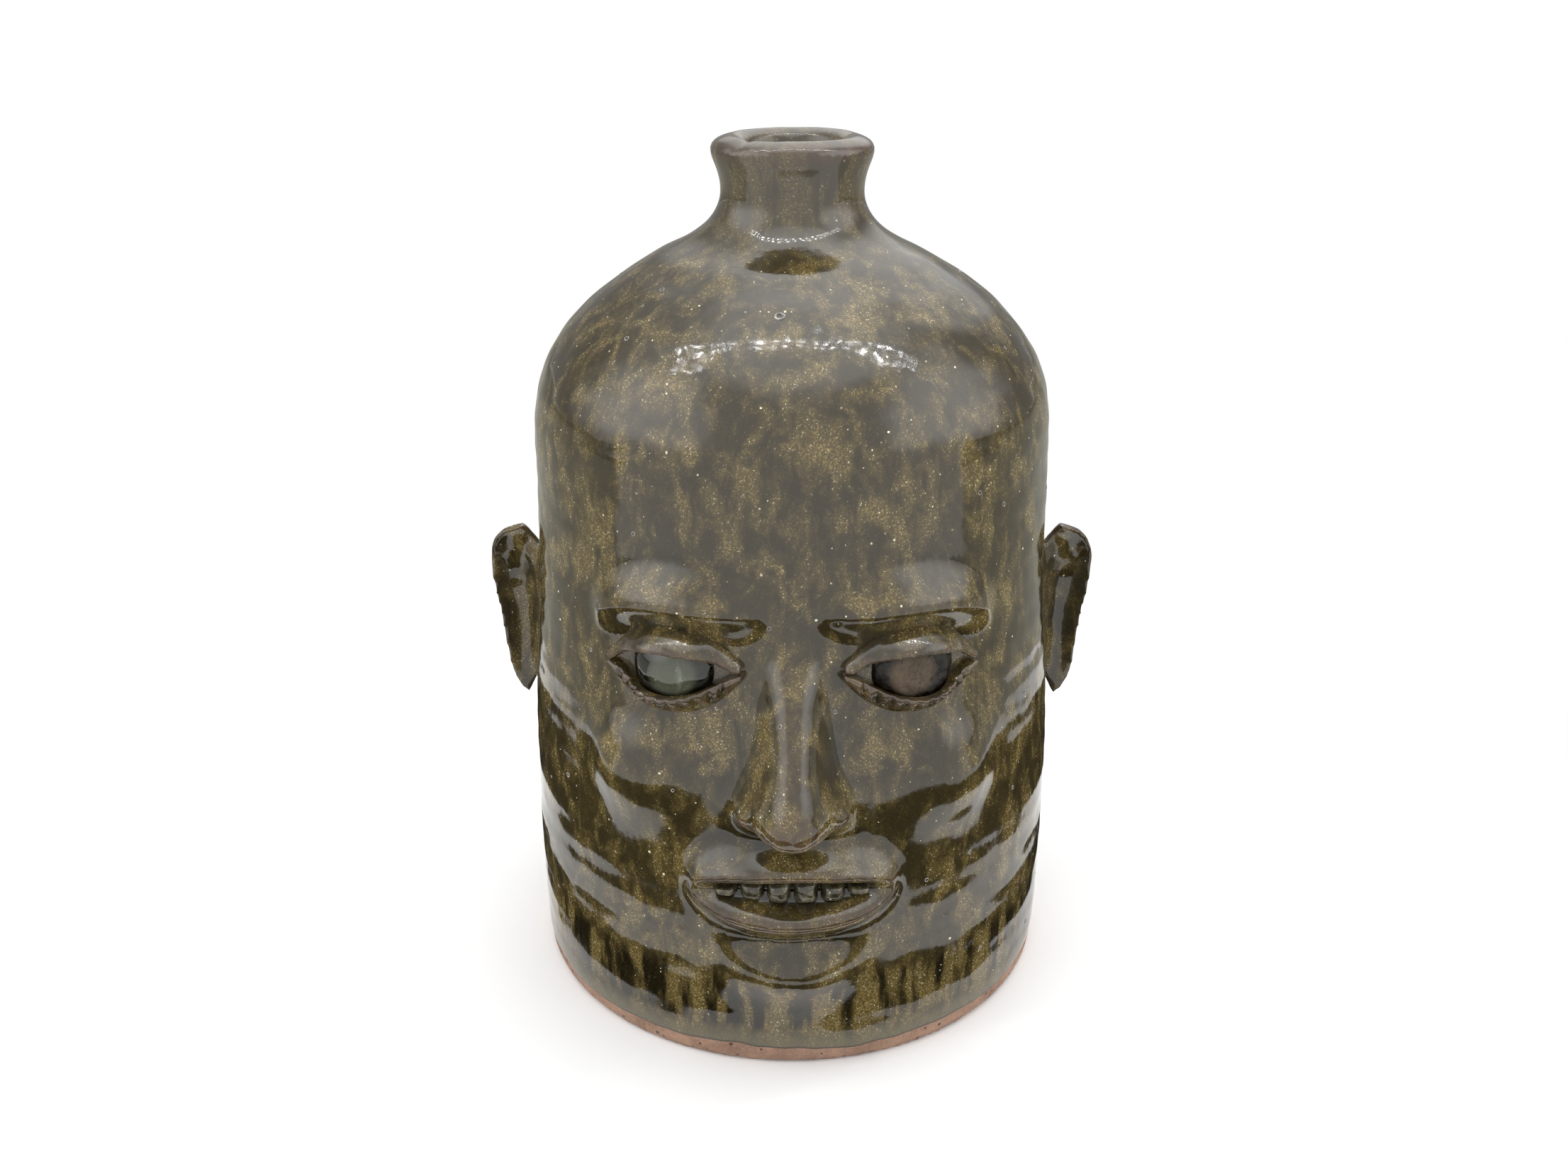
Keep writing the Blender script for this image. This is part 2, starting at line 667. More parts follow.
quads = polygonsOf(skinMesh)
quadLabels = label[quads]
quadLabel = np.where((quadLabels == quadLabels[:, :1]).all(1), quadLabels[:, 0], quadLabels.min(1))
pieces = {}
for k, name in enumerate(["jug_body"] + padNames):
    pieces[name] = cutPiece(name + ("_glazed" if name != "rear_handle" else "_strap"), quads[quadLabel == k],
                            addLiner if k == 0 else None)
glazedShell = skinObj.data.copy()
bpy.data.objects.remove(skinObj)
print("skin cut into", len(pieces), "pieces")


# the small pieces: how fine each is remeshed, how its clay flows (rounds, hollows, ridges), and the depths at
# which glaze pools in its hollows and thins on its edges
lids = {"voxel": 0.42 * mm, "press": 1.05 * mm, "flow": (9, 0.8, 0.3), "hollow": 14, "pool": (0.03 * mm, 0.16 * mm),
        "poolShare": 1.0, "edge": (0.02 * mm, 0.13 * mm), "blend": (0.15 * mm, 1.1 * mm)}
earPads = {"voxel": 0.62 * mm, "flow": (44, 0.85, 0.3), "hollow": 24, "pool": (0.06 * mm, 0.5 * mm),
           "poolShare": 0.85, "edge": (0.12 * mm, 0.4 * mm), "blend": (0.1 * mm, 1.6 * mm),
           "tooled": (1.5 * mm, 6 * mm), "root": 1.5 * mm, "patch": 8 * mm, "patchDepth": 1.7 * mm,
           "patchStep": 0.9 * mm, "patchLevel": 100 * mm, "under": 0.15 * mm}
teeth = {"voxel": 0.36 * mm, "flow": (12, 0.9, 0.75), "hollow": 14, "edge": (0.05 * mm, 0.3 * mm),
         "root": (1.0 * mm, 3.6 * mm), "lump": (0.22 * mm, 2.2 * mm)}
balls = {"voxel": 0.5 * mm, "flow": (6, 0.8, 0.5), "lump": (0.16 * mm, 5 * mm), "bareLump": (0.22 * mm, 1.7 * mm),
         "rim": (0.42, 0.66)}


def remeshed(name, co, tris, how):
    obj = makeObject(name, makeMesh(name, co, tris))
    voxelRemesh(obj, how["voxel"])
    co, tris, edges = vertsOf(obj.data), trisOf(obj.data), edgesOf(obj.data)
    smoothPolygons(obj.data)
    return obj, flowed(co, tris, edges, *how["flow"]), tris, edges


def shadeLikeWall(mesh, co, tris, blend):
    # close to the wall a piece takes the wall's shading, so that no crease shows
    normals = triNormals(co, tris)
    wallNormal = co * np.array([1, 1, 0])
    wallNormal /= np.linalg.norm(wallNormal, axis=1)[:, None]
    share = (1 - smoothStep(*blend, overWall(co)))[:, None] * ((normals * wallNormal).sum(1) > 0.2)[:, None]
    normals = normals * (1 - share) + wallNormal * share
    normals /= np.linalg.norm(normals, axis=1)[:, None]
    mesh.normals_split_custom_set_from_vertices(normals.tolist())


def buildPad(name, co, tris, how):
    # a lid or an ear, under the same glaze as the wall
    obj, co, tris, edges = remeshed(name + "_glazed", co, tris, how)
    normals = triNormals(co, tris)
    fine = hollowness(co, normals, edges, how["hollow"])
    tooled = smoothStep(*how["tooled"], overWall(co)) if "tooled" in how else None
    co = inBox(handled(co, normals, tooled=tooled))
    setVerts(obj.data, co)
    setAttribute(obj.data, "pool", how["poolShare"] * smoothStep(*how["pool"], fine))
    setAttribute(obj.data, "edge", smoothStep(*how["edge"], -fine))
    setAttribute(obj.data, "aboveLine", co[:, 2] - hand["bareHeight"])
    shadeLikeWall(obj.data, co, tris, how["blend"])
    return obj


def buildLid(name):
    return buildPad(name, *sunk(name, lids["press"]), lids)


def wallPatch(name):
    # a slab of the wall round a piece's root, just under the skin, for its clay to run down to
    co = merged(name)[0]
    root = co[overWall(co) < earPads["root"]]
    middle = math.atan2(root[:, 1].mean(), root[:, 0].mean())
    turn = (np.arctan2(root[:, 1], root[:, 0]) - middle + math.pi) % (2 * math.pi) - math.pi
    pad, step, across = earPads["patch"], earPads["patchStep"], wallAt(earPads["patchLevel"])
    around = middle + np.arange(turn.min() - pad / across, turn.max() + pad / across, step / across)
    levels = np.arange(root[:, 2].min() - pad, root[:, 2].max() + pad, step)
    n, m = len(around), len(levels)
    points = []
    for under in (earPads["under"], earPads["under"] + earPads["patchDepth"]):
        for a in around:
            for z in levels:
                r = wallAt(z) - under
                points.append((r * math.cos(a), r * math.sin(a), z))
    quads = [(k + i * m + j, k + (i + 1) * m + j, k + (i + 1) * m + j + 1, k + i * m + j + 1)
             for k in (0, n * m) for i in range(n - 1) for j in range(m - 1)]
    quads += [(i * m + j, (i + 1) * m + j, (i + 1) * m + j + n * m, i * m + j + n * m)
              for i in range(n - 1) for j in (0, m - 1)]
    quads += [(i * m + j, i * m + j + 1, i * m + j + 1 + n * m, i * m + j + n * m)
              for i in (0, n - 1) for j in range(m - 1)]
    return np.array(points), np.array([t for a, b, c, d in quads for t in ((a, b, c), (a, c, d))])


def buildEar(name):
    return buildPad(name, *joined([sunk(name), wallPatch(name)]), earPads)


def lumped(name, co, tris, how, lump, shift):
    # a small piece with the lumps of rolled clay
    obj, co, tris, edges = remeshed(name, co, tris, how)
    deep, wide = lump
    co = co + triNormals(co, tris) * (deep * rippled(co, wide, shift))[:, None]
    setVerts(obj.data, co)
    return obj, co, tris, edges


def buildTooth(name):
    obj, co, tris, edges = lumped(name + "_nub", *sunk(name), teeth, teeth["lump"], 2.0)
    fine = hollowness(co, triNormals(co, tris), edges, teeth["hollow"])
    setAttribute(obj.data, "edge", smoothStep(*teeth["edge"], -fine))
    setAttribute(obj.data, "pool", 1 - smoothStep(*teeth["root"], overWall(co)))
    return obj


def buildBall(name, lump):
    obj, co = lumped(name + "_ball", *sunk(name, 0), balls, lump, 4.0)[:2]
    # how near a point is to the lids: 0 in the middle of the eye, 1 at its edge
    low, high = [np.array(corner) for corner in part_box(name)]
    away = (2 * co - low - high) / (high - low)
    away = np.hypot(away[:, 0], away[:, 2])
    setAttribute(obj.data, "pool", smoothStep(*balls["rim"], away))
    setAttribute(obj.data, "edge", 0 * away)
    return obj


for side in ("left", "right"):
    pieces["ear_" + side] = buildEar("ear_" + side)
    for lid in ("upper_lid_", "lower_lid_"):
        pieces[lid + side] = buildLid(lid + side)
pieces["eyeball_right"] = buildBall("eyeball_right", balls["lump"])
pieces["eyeball_left"] = buildBall("eyeball_left", balls["bareLump"])
for k in range(1, 7):
    pieces["tooth_%d" % k] = buildTooth("tooth_%d" % k)
print("eyes and teeth built")


# materials: what more than one of them uses is a node group
def nodeGroup(name, inputs, outputs):
    group = bpy.data.node_groups.new(name, "ShaderNodeTree")
    kinds = {"v": "NodeSocketVector", "f": "NodeSocketFloat", "c": "NodeSocketColor"}
    for label, kind, value in inputs:
        socket = group.interface.new_socket(label, in_out="INPUT", socket_type=kinds[kind])
        if value is not None:
            socket.default_value = value
    for label, kind in outputs:
        group.interface.new_socket(label, in_out="OUTPUT", socket_type=kinds[kind])
    return group, group.nodes.new("NodeGroupInput").outputs, group.nodes.new("NodeGroupOutput").inputs


def noiseNode(tree, vector, size, detail=3.0, roughness=0.55, distortion=0.0):
    # size is the length of a wave
    scale = mathNode(tree, "DIVIDE", 1.0, size)
    node = feed(tree, addNode(tree, "ShaderNodeTexNoise"), Vector=vector, Scale=scale, Detail=detail,
                Roughness=roughness, Distortion=distortion)
    return node.outputs["Fac"]


def rangeNode(tree, value, low, high, toLow=0.0, toHigh=1.0):
    node = addNode(tree, "ShaderNodeMapRange", interpolation_type="SMOOTHSTEP")
    return feed(tree, node, Value=value, From_Min=low, From_Max=high, To_Min=toLow, To_Max=toHigh).outputs["Result"]


def mixNode(tree, share, a, b):
    node = addNode(tree, "ShaderNodeMix", data_type="RGBA")
    return feed(tree, node, n0=share, n6=a, n7=b).outputs[2]


def stretched(tree, vector, factor):
    node = addNode(tree, "ShaderNodeVectorMath", operation="MULTIPLY")
    return feed(tree, node, n0=vector, n1=factor).outputs[0]


def scattered(tree, vector, size):
    # dots strewn through space: how far the nearest is, and three chances of its own
    dots = feed(tree, addNode(tree, "ShaderNodeTexVoronoi"), Vector=vector,
                Scale=mathNode(tree, "DIVIDE", 1.0, size), Randomness=1.0)
    return dots.outputs["Distance"], feed(tree, addNode(tree, "ShaderNodeSeparateColor"),
                                          Color=dots.outputs["Color"]).outputs


def glazeMottleGroup():
    # dark glaze with golden clouds that have run down, fine grains and a few pale specks
    g, given, out = nodeGroup("glazeMottle", [
        ("Vector", "v", None), ("Cloud Size", "f", 0.009), ("Grain Size", "f", 0.0006), ("Cloudiness", "f", 0.5),
        ("Streak", "f", 0.0), ("Speck Size", "f", 0.0026), ("Dark", "c", None), ("Middle", "c", None),
        ("Gold", "c", None), ("Speck", "c", None)], [("Color", "c"), ("Specks", "f")])
    at = given["Vector"]
    cloud = noiseNode(g, stretched(g, at, (1.0, 1.0, 0.55)), given["Cloud Size"], 4.0, 0.58, 0.5)
    patch = noiseNode(g, at, times(g, given["Cloud Size"], 4.5), 2.0)
    cloud = plus(g, cloud, times(g, minus(g, patch, 0.5), 0.4))
    low = minus(g, 0.95, given["Cloudiness"])
    cloud = rangeNode(g, cloud, low, plus(g, low, 0.42))
    # drips, where Streak asks for them, stand in for the clouds
    drip = noiseNode(g, stretched(g, at, (1.0, 1.0, 0.2)), given["Cloud Size"], 3.0, 0.55)
    drip = minus(g, rangeNode(g, drip, 0.42, 0.62), cloud)
    cloud = plus(g, cloud, times(g, drip, given["Streak"]))
    grain = noiseNode(g, at, given["Grain Size"], 3.0, 0.75)
    # where the clouds are dense the grains crowd together, elsewhere only a few are left
    crowd = minus(g, 0.64, times(g, cloud, 0.2))
    grains = rangeNode(g, grain, crowd, plus(g, crowd, 0.16))
    base = plus(g, times(g, cloud, 0.75), times(g, grain, 0.35))
    colour = mixNode(g, rangeNode(g, base, 0.1, 0.8), given["Dark"], given["Middle"])
    colour = mixNode(g, times(g, grains, rangeNode(g, cloud, 0.0, 0.8, 0.25, 0.75)), colour, given["Gold"])
    glint = noiseNode(g, at, times(g, given["Grain Size"], 0.75), 2.0, 0.5)
    glint = times(g, rangeNode(g, glint, 0.64, 0.72), rangeNode(g, cloud, 0.1, 0.9, 0.05, 0.75))
    colour = mixNode(g, glint, colour, given["Speck"])
    far, chance = scattered(g, at, given["Speck Size"])
    size = times(g, times(g, rangeNode(g, chance[0], 0.45, 1.0), chance[2]), 0.19)
    specks = mathNode(g, "LESS_THAN", plus(g, far, times(g, minus(g, grain, 0.5), 0.3)), size)
    bright = times(g, specks, rangeNode(g, chance[1], 0.0, 1.0, 0.25, 1.0))
    g.links.new(mixNode(g, bright, colour, given["Speck"]), out["Color"])
    g.links.new(specks, out["Specks"])
    return g


def glazeDepthGroup():
    # glaze lies thick and dark in hollows, and runs thin off ridges so that the clay shows through
    g, given, out = nodeGroup("glazeDepth", [
        ("Vector", "v", None), ("Color", "c", None), ("Pool", "f", 0.0), ("Edge", "f", 0.0),
        ("Pool Color", "c", None), ("Edge Color", "c", None), ("Break Size", "f", 0.003)], [("Color", "c")])
    ragged = noiseNode(g, given["Vector"], given["Break Size"], 4.0, 0.6)
    edge = times(g, given["Edge"], rangeNode(g, ragged, 0.36, 0.6))
    colour = mixNode(g, times(g, edge, 0.65), given["Color"], given["Edge Color"])
    pool = times(g, given["Pool"], rangeNode(g, ragged, 0.2, 0.6, 0.75, 1.0))
    g.links.new(mixNode(g, pool, colour, given["Pool Color"]), out["Color"])
    return g


def glazeSkinGroup():
    # the skin of fired glaze: slow ripples and fine orange peel, as a height in metres
    g, given, out = nodeGroup("glazeSkin", [
        ("Vector", "v", None), ("Ripple Size", "f", 0.005), ("Ripple", "f", 0.00003),
        ("Peel Size", "f", 0.0014), ("Peel", "f", 0.000004)], [("Height", "f")])
    ripple = times(g, noiseNode(g, given["Vector"], given["Ripple Size"], 1.5, 0.5), given["Ripple"])
    peel = times(g, noiseNode(g, given["Vector"], given["Peel Size"], 2.0, 0.5), given["Peel"])
    g.links.new(plus(g, ripple, peel), out["Height"])
    return g


def clayGroup():
    # bare fired clay: grainy, with dark iron specks and open pits
    g, given, out = nodeGroup("bareClayGrain", [
        ("Vector", "v", None), ("Light", "c", None), ("Dark", "c", None), ("Iron", "c", None),
        ("Grain Size", "f", 0.0009), ("Speck Size", "f", 0.0021)], [("Color", "c"), ("Height", "f")])
    broad = noiseNode(g, given["Vector"], times(g, given["Grain Size"], 9.0), 3.0)
    grain = noiseNode(g, given["Vector"], given["Grain Size"], 4.0, 0.7)
    mixed = plus(g, times(g, broad, 0.6), times(g, grain, 0.5))
    colour = mixNode(g, rangeNode(g, mixed, 0.4, 0.7), given["Dark"], given["Light"])
    far, chance = scattered(g, given["Vector"], given["Speck Size"])
    iron = mathNode(g, "LESS_THAN", far, rangeNode(g, chance[0], 0.4, 1.0, 0.0, 0.27))
    g.links.new(mixNode(g, times(g, iron, 0.85), colour, given["Iron"]), out["Color"])
    g.links.new(minus(g, times(g, grain, 0.22 * mm), times(g, iron, 0.12 * mm)), out["Height"])
    return g


groups = {"mottle": glazeMottleGroup(), "depth": glazeDepthGroup(), "skin": glazeSkinGroup(), "clay": clayGroup()}
colours = {
    "dark": (0.027, 0.0205, 0.0078), "deep": (0.006, 0.0045, 0.0015), "middle": (0.082, 0.059, 0.019),
    "gold": (0.26, 0.19, 0.066), "neck": (0.066, 0.056, 0.038),
    "speck": (0.85, 0.80, 0.56), "pool": (0.003, 0.0028, 0.0016), "thin": (0.085, 0.050, 0.036),
    "greyDark": (0.045, 0.038, 0.018), "greyLight": (0.20, 0.175, 0.10),
    "clayLight": (0.39, 0.235, 0.158), "clayDark": (0.22, 0.125, 0.080), "iron": (0.03, 0.018, 0.012),
    "paleDark": (0.06, 0.065, 0.04), "pale": (0.17, 0.185, 0.14), "paleLight": (0.27, 0.28, 0.20),
    "stubLight": (0.115, 0.083, 0.054), "stubDark": (0.048, 0.035, 0.023),
    "blisterDark": (0.16, 0.15, 0.13), "blister": (0.46, 0.44, 0.40), "blisterLight": (0.78, 0.76, 0.70),
    "toothDark": (0.024, 0.020, 0.009), "tooth": (0.115, 0.097, 0.050), "toothLight": (0.36, 0.31, 0.19),
}
glazes = {
    "ior": 1.7, "rough": (0.05, 0.13), "cloudSize": 5.6 * mm, "grainSize": 0.6 * mm, "speckSize": 1.9 * mm,
    "cloudiness": 0.62, "rippleSize": 4.2 * mm, "ripple": 0.045 * mm, "peelSize": 1.1 * mm, "peel": 0.0085 * mm,
    "footBand": (0.7 * mm, 7.5 * mm), "lineDark": 0.9 * mm, "dripBand": (4 * mm, 21 * mm), "neckFrom": 205 * mm,
    "neckFade": 8 * mm, "greyGrain": 0.8 * mm, "lineSoft": 0.12 * mm, "roughSize": 2.2 * mm, "speckHeight": 0.03 * mm,
}


def rgba(name):
    return (*colours[name], 1.0)


def newMaterial(name):
    mat = bpy.data.materials.new(name)
    mat.use_nodes = True
    tree = mat.node_tree
    return mat, tree, tree.nodes["Principled BSDF"], addNode(tree, "ShaderNodeTexCoord").outputs["Object"]


def placed(tree, group, vector, **values):
    node = addNode(tree, "ShaderNodeGroup", node_tree=groups[group])
    return feed(tree, node, Vector=vector, **values).outputs


def attributeNode(tree, name):
    return addNode(tree, "ShaderNodeAttribute", attribute_name=name).outputs["Fac"]


def bumped(tree, height):
    node = addNode(tree, "ShaderNodeBump")
    return feed(tree, node, Height=height, Distance=1.0, Strength=1.0).outputs["Normal"]


def mottled(tree, place, tones, cloudSize, grainSize, cloudiness, speckSize, **more):
    dark, middle, gold = tones
    return placed(tree, "mottle", place, Cloud_Size=cloudSize, Grain_Size=grainSize, Cloudiness=cloudiness,
                  Speck_Size=speckSize, Dark=dark, Middle=middle, Gold=gold, Speck=rgba("speck"), **more)


def withDepth(tree, place, colour, edgeColour="thin", **more):
    # thick and thin where the masks of the mesh say so
    outputs = placed(tree, "depth", place, Color=colour, Pool=attributeNode(tree, "pool"),
                     Edge=attributeNode(tree, "edge"), Pool_Color=rgba("pool"), Edge_Color=rgba(edgeColour), **more)
    return outputs["Color"]


def glazeHeight(tree, place, rippleSize, ripple, peelSize, peel):
    return placed(tree, "skin", place, Ripple_Size=rippleSize, Ripple=ripple, Peel_Size=peelSize, Peel=peel)["Height"]


def brownGlaze():
    mat, tree, bsdf, place = newMaterial("brownGlaze")
    above = attributeNode(tree, "aboveLine")
    low, high = glazes["dripBand"]
    drips = times(tree, rangeNode(tree, above, low, 2 * low), rangeNode(tree, above, high, 1.3 * high, 1.0, 0.0))
    neck = rangeNode(tree, above, glazes["neckFrom"], glazes["neckFrom"] + glazes["neckFade"])
    deep = mixNode(tree, drips, rgba("dark"), rgba("deep"))
    drips = mathNode(tree, "MAXIMUM", drips, neck)
    mottle = mottled(tree, place, (deep, rgba("middle"), rgba("gold")), glazes["cloudSize"], glazes["grainSize"],
                     glazes["cloudiness"], glazes["speckSize"], Streak=times(tree, drips, 0.85))
    thick = withDepth(tree, place, mixNode(tree, times(tree, neck, 0.55), mottle["Color"], rgba("neck")))
    clay = placed(tree, "clay", place, Light=rgba("clayLight"), Dark=rgba("clayDark"), Iron=rgba("iron"))
    # a thin, grey, grainy glaze over the foot, and a dark line where it ends
    grey = mixNode(tree, noiseNode(tree, place, glazes["greyGrain"], 3.0, 0.7), rgba("greyDark"), rgba("greyLight"))
    colour = mixNode(tree, rangeNode(tree, above, *glazes["footBand"], 0.75, 0.0), thick, grey)
    colour = mixNode(tree, rangeNode(tree, above, 0.0, glazes["lineDark"], 0.85, 0.0), colour, rgba("pool"))
    bare = rangeNode(tree, above, -glazes["lineSoft"], glazes["lineSoft"], 1.0, 0.0)
    colour = mixNode(tree, bare, colour, clay["Color"])
    rough = rangeNode(tree, noiseNode(tree, place, glazes["roughSize"], 3.0), 0.3, 0.7, *glazes["rough"])
    rough = plus(tree, times(tree, bare, 0.8), rough)
    height = glazeHeight(tree, place, glazes["rippleSize"], glazes["ripple"], glazes["peelSize"], glazes["peel"])
    height = plus(tree, times(tree, clay["Height"], bare), height)
    height = plus(tree, height, times(tree, mottle["Specks"], glazes["speckHeight"]))
    feed(tree, bsdf, Base_Color=colour, Roughness=rough, Normal=bumped(tree, height), IOR=glazes["ior"])
    return mat


# tones, then cloud size, grain size, cloudiness and speck size; where it thins; ripple and peel, long and deep; shine
otherGlazes = {
    "paleGlaze": {"tones": ("paleDark", "pale", "paleLight"), "mottle": (6 * mm, 0.5 * mm, 0.5, 1.8 * mm),
                  "thins": ("thin", 2 * mm), "skin": (4 * mm, 0.04 * mm, glazes["peelSize"], glazes["peel"]),
                  "rough": 0.06},
    "toothGlaze": {"tones": ("toothDark", "tooth", "toothLight"), "mottle": (3 * mm, 0.5 * mm, 0.5, 2 * mm),
                   "thins": ("toothLight", 1.5 * mm), "skin": (2 * mm, 0.05 * mm, 0.9 * mm, glazes["peel"]),
                   "rough": 0.1},
    "blisterGlaze": {"tones": ("blisterDark", "blister", "blisterLight"),
                     "mottle": (0.8 * mm, 0.3 * mm, 0.55, 1.5 * mm), "thins": None,
                     "skin": (0.5 * mm, 0.01 * mm, 0.3 * mm, 0.001 * mm), "rough": 0.12},
}


def otherGlaze(name):
    how = otherGlazes[name]
    mat, tree, bsdf, place = newMaterial(name)
    colour = mottled(tree, place, [rgba(tone) for tone in how["tones"]], *how["mottle"])["Color"]
    if how["thins"]:
        edgeColour, breakSize = how["thins"]
        colour = withDepth(tree, place, colour, edgeColour, Break_Size=breakSize)
    height = glazeHeight(tree, place, *how["skin"])
    feed(tree, bsdf, Base_Color=colour, Roughness=how["rough"], Normal=bumped(tree, height), IOR=glazes["ior"])
    return mat


def bareClay():
    mat, tree, bsdf, place = newMaterial("bareClay")
    clay = placed(tree, "clay", place, Light=rgba("stubLight"), Dark=rgba("stubDark"), Iron=rgba("iron"),
                  Grain_Size=1.1 * mm, Speck_Size=1.7 * mm)
    colour = withDepth(tree, place, clay["Color"], Break_Size=2 * mm)
    rough = rangeNode(tree, attributeNode(tree, "pool"), 0.3, 0.8, 0.72, 0.12)
    feed(tree, bsdf, Base_Color=colour, Roughness=rough, Normal=bumped(tree, clay["Height"]), IOR=1.45)
    return mat


# Geometry Nodes: rings that gas left in the glaze, strewn over the glazed surface
blisters = {"Density": 700.0, "Seed": 5, "Ring Radius": 0.62 * mm, "Wall": 0.17 * mm, "Smallest": 0.4, "Largest": 1.0,
            "Lowest": 12 * mm, "Highest": 206 * mm}
bigBlister = {"place": (-3.4 * mm, 202 * mm), "radius": 1.1 * mm, "wall": 0.34 * mm, "spokes": 28, "sides": 10}


def blisterTree():
    tree, given, end = newTree("glazeBlisters", {
        "Density": ("Float", 700.0), "Seed": ("Int", 5), "Ring Radius": ("Float", 0.0006), "Wall": ("Float", 0.00017),
        "Smallest": ("Float", 0.4), "Largest": ("Float", 1.0), "Lowest": ("Float", 0.012), "Highest": ("Float", 0.226)})
    height = axes(tree, addNode(tree, "GeometryNodeInputPosition").outputs[0])["Z"]
    within = times(tree, mathNode(tree, "GREATER_THAN", height, given["Lowest"]),
                   mathNode(tree, "LESS_THAN", height, given["Highest"]))
    strewn = feed(tree, addNode(tree, "GeometryNodeDistributePointsOnFaces"), Mesh=given["Geometry"],
                  Selection=within, Density=given["Density"], Seed=given["Seed"]).outputs
    circle = feed(tree, addNode(tree, "GeometryNodeCurvePrimitiveCircle"), Resolution=14, Radius=given["Ring Radius"])
    bead = feed(tree, addNode(tree, "GeometryNodeCurvePrimitiveCircle"), Resolution=6, Radius=given["Wall"])
    ring = feed(tree, addNode(tree, "GeometryNodeCurveToMesh"), Curve=circle.outputs["Curve"],
                Profile_Curve=bead.outputs["Curve"])
    size = feed(tree, addNode(tree, "FunctionNodeRandomValue", data_type="FLOAT"), n2=given["Smallest"],
                n3=given["Largest"], Seed=given["Seed"])
    put = feed(tree, addNode(tree, "GeometryNodeInstanceOnPoints"), Points=strewn["Points"],
               Instance=ring.outputs["Mesh"], Rotation=strewn["Rotation"], Scale=size.outputs[1])
    return endTree(tree, given, end, put.outputs[0])


def addBlisters(paint):
    strewn = runTree(blisterTree(), glazedShell, "blisterRings", {**blisters, "Material": paint})
    # one large ring on the dome, where a blister broke
    x, z = bigBlister["place"]
    near = np.array([x, -math.sqrt(wallAt(z) ** 2 - x ** 2), z])
    k = int(np.argmin(np.linalg.norm(co - near, axis=1)))
    turn = Vector(normals[k]).to_track_quat("Z", "Y").to_matrix()
    bm = bmesh.new()
    bm.from_mesh(strewn)
    rows, spokes, sides, wall = [], bigBlister["spokes"], bigBlister["sides"], bigBlister["wall"]
    for a in np.arange(spokes) * 2 * math.pi / spokes:
        out = Vector((math.cos(a), 0.85 * math.sin(a), 0))
        ring = bigBlister["radius"] * (1 + 0.12 * noise.noise(out * 2.1))
        rows.append([bm.verts.new(Vector(co[k]) + turn @ (out * (ring + wall * math.cos(t))
                                                          + Vector((0, 0, wall * math.sin(t)))))
                     for t in np.arange(sides) * 2 * math.pi / sides])
    for a in range(spokes):
        here, there = rows[a], rows[(a + 1) % spokes]
        for b in range(sides):
            c = (b + 1) % sides
            bm.faces.new((here[b], there[b], there[c], here[c]))
    bmesh.ops.recalc_face_normals(bm, faces=bm.faces)
    mesh = bpy.data.meshes.new("glaze_blisters")
    bm.to_mesh(mesh)
    bm.free()
    setVerts(mesh, inBox(vertsOf(mesh)))
    smoothPolygons(mesh)
    mesh.materials.clear()
    mesh.materials.append(paint)
    obj = makeObject("glaze_blisters", mesh)
    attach(obj, "root")
    print("blisters:", len(mesh.vertices), "points")


# light: a white studio with soft boxes, and what only the glaze mirrors: two rows of small lights overhead and
# rings on the table, two dark ones round the foot and a grey one behind
studio = {
    "daylight": 0.72, "floorSize": 14.0, "floorColour": (0.90, 0.90, 0.90), "whiteFrom": (0.10, 0.34),
    "boxes": [
        # name, place, size across and high, brightness beside the white world
        ("boxLeft", (-1.5, -0.35, 0.75), (1.9, 2.0), 1.14),
        ("boxRight", (1.55, -0.25, 0.7), (1.9, 2.0), 1.10),
        ("boxTop", (0.0, -0.15, 1.9), (2.2, 1.5), 1.12),
        ("boxBack", (0.3, 1.5, 1.6), (2.0, 1.6), 1.1),
    ],
    "strip": ("strip", (0.04, -0.10, 1.35), (2.0, 0.03), 24.0),  # the glaze mirrors the rows instead
    "glow": (40, 14), "glowWander": 0.22, "behind": 0.68,
    "rows": [
        # name, height, how far in front, and to the side of the jug's axis
        ("lightsNear", 1.35, 0.15, 0.03), ("lightsFar", 1.37, 0.05, 0.05),
    ],
    "rowLength": 1.9, "rowCount": 21, "rowLight": (0.011, 0.030), "rowBrightness": 75.0,
    "ringHeight": 0.0015, "ringSteps": 96, "aim": (0.0, 0.0, 0.12),
    "rings": [
        # name, tone, inner and outer radius, how far the edge wanders, half the arc in degrees, middle of the arc
        ("cardTable", "dark", 0.142, 0.235, 0.020, 180, 0),
        ("cardFoot", "dark", 0.091, 0.112, 0.005, 180, 0),
        ("cardBehind", "grey", 0.27, 6.5, 0.03, 105, 180),
    ],
}


def facing(place, aim):
    return (Vector(aim) - Vector(place)).to_track_quat("-Z", "Y").to_euler()


